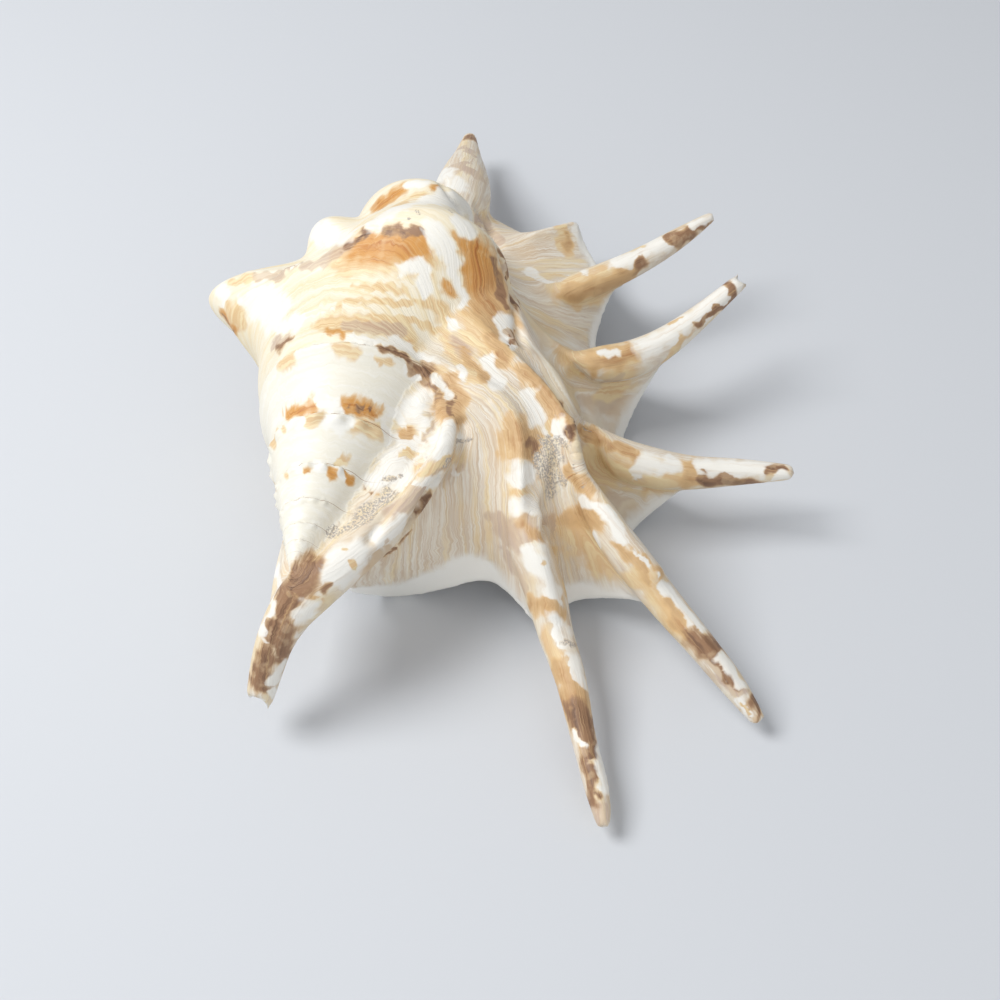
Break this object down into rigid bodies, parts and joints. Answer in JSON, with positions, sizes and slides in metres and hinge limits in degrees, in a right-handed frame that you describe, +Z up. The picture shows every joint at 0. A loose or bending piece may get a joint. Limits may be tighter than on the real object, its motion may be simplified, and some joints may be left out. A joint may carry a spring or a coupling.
{
  "type": "spider conch shell",
  "caption": "Empty sea snail shell with a pointed spire, a flared lip that ends in long curved fingers, and an open mouth underneath.",
  "frame": {"origin": "middle of the shell's footprint, on the surface it lies on", "axes": "+Z up through the shell's back, +Y along the coiling axis from the spire to the siphon canal, +X towards the flared lip"},
  "size_m": [0.1112, 0.1642, 0.0513],
  "materials": {
    "shell": "natural glossy shell, cream with orange-brown flames and grey-brown mottling"
  },
  "bodies": {
    "root": {"shell": "shell"}
  },
  "joints": []
}
